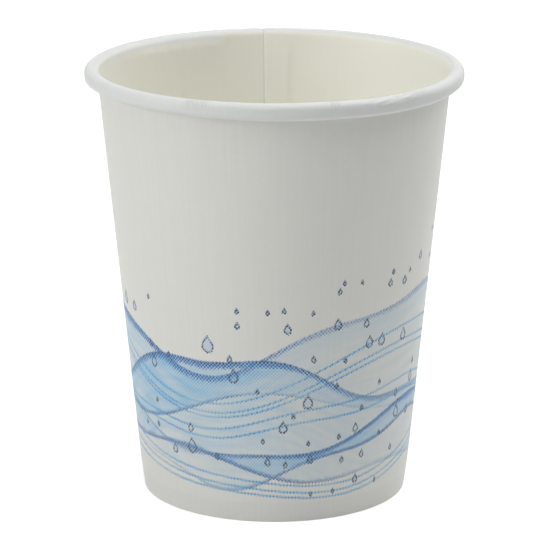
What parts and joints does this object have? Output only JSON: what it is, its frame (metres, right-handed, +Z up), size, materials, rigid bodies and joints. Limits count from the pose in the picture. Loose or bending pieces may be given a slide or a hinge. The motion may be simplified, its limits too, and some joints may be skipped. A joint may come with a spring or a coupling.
{
  "type": "paper cup",
  "caption": "Tapered paper drinking cup for cold drinks, with a rolled rim, a lapped side seam and a recessed bottom held in the folded foot.",
  "frame": {"origin": "on the cup's axis at table level, the centre of the foot", "axes": "+Z up along the cup's axis, +Y towards the side seam, -Y the side that the picture shows"},
  "size_m": [0.08, 0.08, 0.092],
  "materials": {
    "sidewall_board": "white paperboard with a thin smooth film on both sides, printed outside in pale and mid blue waves, satin",
    "bottom_board": "unprinted off-white paperboard with a thin smooth film, satin"
  },
  "bodies": {
    "root": {"sidewall": "sidewall_board", "bottom": "bottom_board"}
  },
  "joints": []
}
